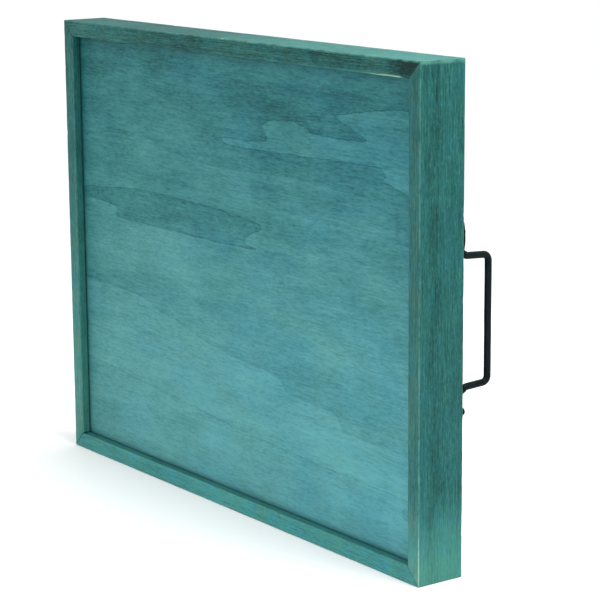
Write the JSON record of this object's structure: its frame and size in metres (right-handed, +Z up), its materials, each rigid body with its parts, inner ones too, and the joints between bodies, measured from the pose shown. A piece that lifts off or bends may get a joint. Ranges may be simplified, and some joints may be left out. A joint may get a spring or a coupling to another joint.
{
  "type": "handled wooden tray",
  "caption": "Shallow rectangular tray of mitred stained wooden rails around a plywood bottom, with bent-wire carrying handles on the rim of each short side.",
  "frame": {"origin": "at floor level under the middle of the box around the whole assembly, handles included, with the tray standing on one long edge", "axes": "+X along the tray, +Y from its underside to its open side and the handles, +Z up, across the tray"},
  "size_m": [0.508, 0.0724, 0.3937],
  "materials": {
    "stained_rail": "teal stain, satin",
    "stained_plywood": "teal stain, satin",
    "black_wire": "satin black",
    "black_screw": "satin black",
    "brad_steel": "bright"
  },
  "bodies": {
    "root": {"bottom_rail": "stained_rail", "top_rail": "stained_rail", "left_rail": "stained_rail", "right_rail": "stained_rail", "bottom_panel": "stained_plywood", "left_handle": "black_wire", "right_handle": "black_wire", "left_lower_screw": "black_screw", "left_upper_screw": "black_screw", "right_lower_screw": "black_screw", "right_upper_screw": "black_screw", "left_lower_under_brad": "brad_steel", "left_lower_rim_brad": "brad_steel", "left_upper_under_brad": "brad_steel", "left_upper_rim_brad": "brad_steel", "right_lower_under_brad": "brad_steel", "right_lower_rim_brad": "brad_steel", "right_upper_under_brad": "brad_steel", "right_upper_rim_brad": "brad_steel"}
  },
  "joints": []
}
